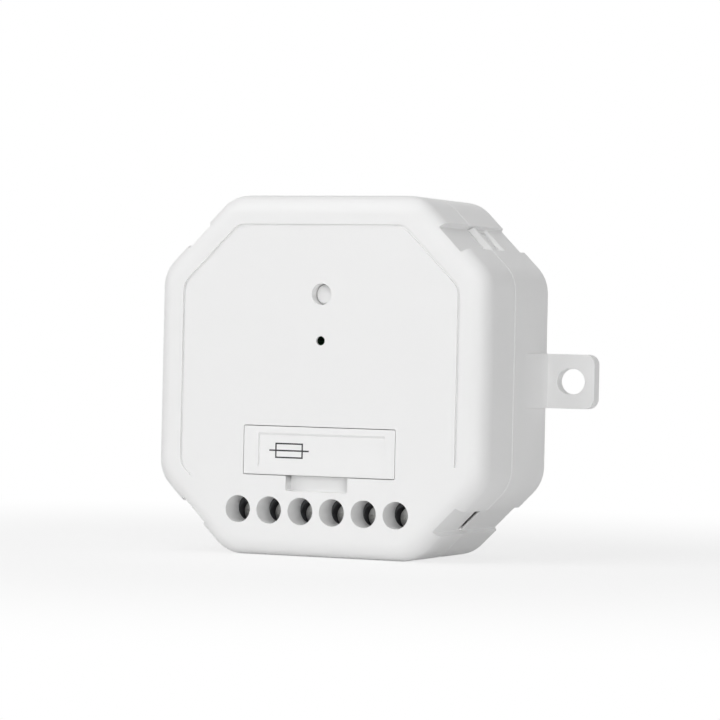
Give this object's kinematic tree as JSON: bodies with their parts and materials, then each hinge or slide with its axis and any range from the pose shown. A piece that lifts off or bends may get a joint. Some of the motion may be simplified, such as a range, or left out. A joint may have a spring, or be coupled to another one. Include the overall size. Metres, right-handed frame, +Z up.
{
  "type": "flush-mounted dimmer module",
  "caption": "Dimmer module for a wall box: square case with cut corners, screw terminals along the foot, recessed button, fuse door and slotted fixing lugs at the sides.",
  "frame": {"origin": "middle of the underside, halfway between the front and back faces", "axes": "+X to the right as seen from the front, +Y into the wall, +Z up"},
  "size_m": [0.0686, 0.024, 0.0523],
  "materials": {
    "shell_white": "fine matt moulded polycarbonate",
    "terminal_dark": "dark grey glass-filled nylon",
    "screw_steel": "zinc-plated steel",
    "cage_steel": "zinc-plated steel",
    "contact_brass": "tinned brass",
    "board_green": "green solder mask",
    "radio_board": "blue solder mask",
    "shield_steel": "tinned steel",
    "black_plastic": "moulded black plastic",
    "plunger_plastic": "moulded plastic",
    "led_lens": "clear resin",
    "fuse_ceramic": "white ceramic",
    "fuse_cap": "nickel-plated brass",
    "clip_metal": "tinned bronze",
    "ferrite": "ferrite",
    "copper_wire": "enamelled copper",
    "film_yellow": "epoxy-filled box",
    "can_sleeve": "shrunk sleeve on an aluminium can",
    "varistor_blue": "dipped epoxy",
    "spreader_metal": "plain aluminium"
  },
  "bodies": {
    "root": {"board_header": "black_plastic", "bridge_rectifier": "black_plastic", "choke_core": "ferrite", "choke_winding": "copper_wire", "contact_bars": "contact_brass", "control_board": "board_green", "controller_chip": "black_plastic", "film_capacitor": "film_yellow", "front_cover": "shell_white", "fuse_caps": "fuse_cap", "fuse_clips": "clip_metal", "fuse_tube": "fuse_ceramic", "heat_spreader": "spreader_metal", "main_board": "board_green", "optocoupler": "black_plastic", "power_transistors": "black_plastic", "radio_board": "radio_board", "radio_shield": "shield_steel", "rear_housing": "shell_white", "smoothing_capacitor": "can_sleeve", "status_led": "led_lens", "supply_inductor": "ferrite", "switch_body": "black_plastic", "terminal_block": "terminal_dark", "varistor": "varistor_blue"},
    "button": {"push_button": "shell_white"},
    "switch_plunger": {"switch_plunger": "plunger_plastic"},
    "fuse_door": {"fuse_cover": "shell_white"},
    "screw_1": {"terminal_screw_1": "screw_steel"},
    "cage_1": {"clamp_cage_1": "cage_steel"},
    "screw_2": {"terminal_screw_2": "screw_steel"},
    "cage_2": {"clamp_cage_2": "cage_steel"},
    "screw_3": {"terminal_screw_3": "screw_steel"},
    "cage_3": {"clamp_cage_3": "cage_steel"},
    "screw_4": {"terminal_screw_4": "screw_steel"},
    "cage_4": {"clamp_cage_4": "cage_steel"},
    "screw_5": {"terminal_screw_5": "screw_steel"},
    "cage_5": {"clamp_cage_5": "cage_steel"},
    "screw_6": {"terminal_screw_6": "screw_steel"},
    "cage_6": {"clamp_cage_6": "cage_steel"}
  },
  "joints": [
    {"name": "button_press", "type": "slide", "parent": "root", "child": "button", "axis": [0, 1, 0], "range_m": [0, 0.0003], "stiffness_N_per_m": 1500, "springref_m": -0.0001},
    {"name": "switch_plunger_slide", "type": "slide", "parent": "root", "child": "switch_plunger", "axis": [0, 1, 0], "range_m": [0, 0.0003]},
    {"name": "fuse_door_pull", "type": "slide", "parent": "root", "child": "fuse_door", "axis": [0, -1, 0], "range_m": [0, 0.02]},
    {"name": "screw_turn_1", "type": "hinge", "parent": "root", "child": "screw_1", "pos_m": [-0.0123, -0.0063, 0.00605], "axis": [0, 1, 0], "range_deg": [0, 1760]},
    {"name": "clamp_rise_1", "type": "slide", "parent": "root", "child": "cage_1", "axis": [0, -1, 0], "range_m": [0, 0.0022]},
    {"name": "screw_turn_2", "type": "hinge", "parent": "root", "child": "screw_2", "pos_m": [-0.0073, -0.0063, 0.00605], "axis": [0, 1, 0], "range_deg": [0, 1760]},
    {"name": "clamp_rise_2", "type": "slide", "parent": "root", "child": "cage_2", "axis": [0, -1, 0], "range_m": [0, 0.0022]},
    {"name": "screw_turn_3", "type": "hinge", "parent": "root", "child": "screw_3", "pos_m": [-0.0023, -0.0063, 0.00605], "axis": [0, 1, 0], "range_deg": [0, 1760]},
    {"name": "clamp_rise_3", "type": "slide", "parent": "root", "child": "cage_3", "axis": [0, -1, 0], "range_m": [0, 0.0022]},
    {"name": "screw_turn_4", "type": "hinge", "parent": "root", "child": "screw_4", "pos_m": [0.0027, -0.0063, 0.00605], "axis": [0, 1, 0], "range_deg": [0, 1760]},
    {"name": "clamp_rise_4", "type": "slide", "parent": "root", "child": "cage_4", "axis": [0, -1, 0], "range_m": [0, 0.0022]},
    {"name": "screw_turn_5", "type": "hinge", "parent": "root", "child": "screw_5", "pos_m": [0.0077, -0.0063, 0.00605], "axis": [0, 1, 0], "range_deg": [0, 1760]},
    {"name": "clamp_rise_5", "type": "slide", "parent": "root", "child": "cage_5", "axis": [0, -1, 0], "range_m": [0, 0.0022]},
    {"name": "screw_turn_6", "type": "hinge", "parent": "root", "child": "screw_6", "pos_m": [0.0127, -0.0063, 0.00605], "axis": [0, 1, 0], "range_deg": [0, 1760]},
    {"name": "clamp_rise_6", "type": "slide", "parent": "root", "child": "cage_6", "axis": [0, -1, 0], "range_m": [0, 0.0022]}
  ],
  "couplings": [
    {"joint": "switch_plunger_slide", "follows": "button_press", "ratio": 1},
    {"joint": "screw_turn_1", "follows": "clamp_rise_1", "rad_per_m": 13963},
    {"joint": "screw_turn_2", "follows": "clamp_rise_2", "rad_per_m": 13963},
    {"joint": "screw_turn_3", "follows": "clamp_rise_3", "rad_per_m": 13963},
    {"joint": "screw_turn_4", "follows": "clamp_rise_4", "rad_per_m": 13963},
    {"joint": "screw_turn_5", "follows": "clamp_rise_5", "rad_per_m": 13963},
    {"joint": "screw_turn_6", "follows": "clamp_rise_6", "rad_per_m": 13963}
  ]
}
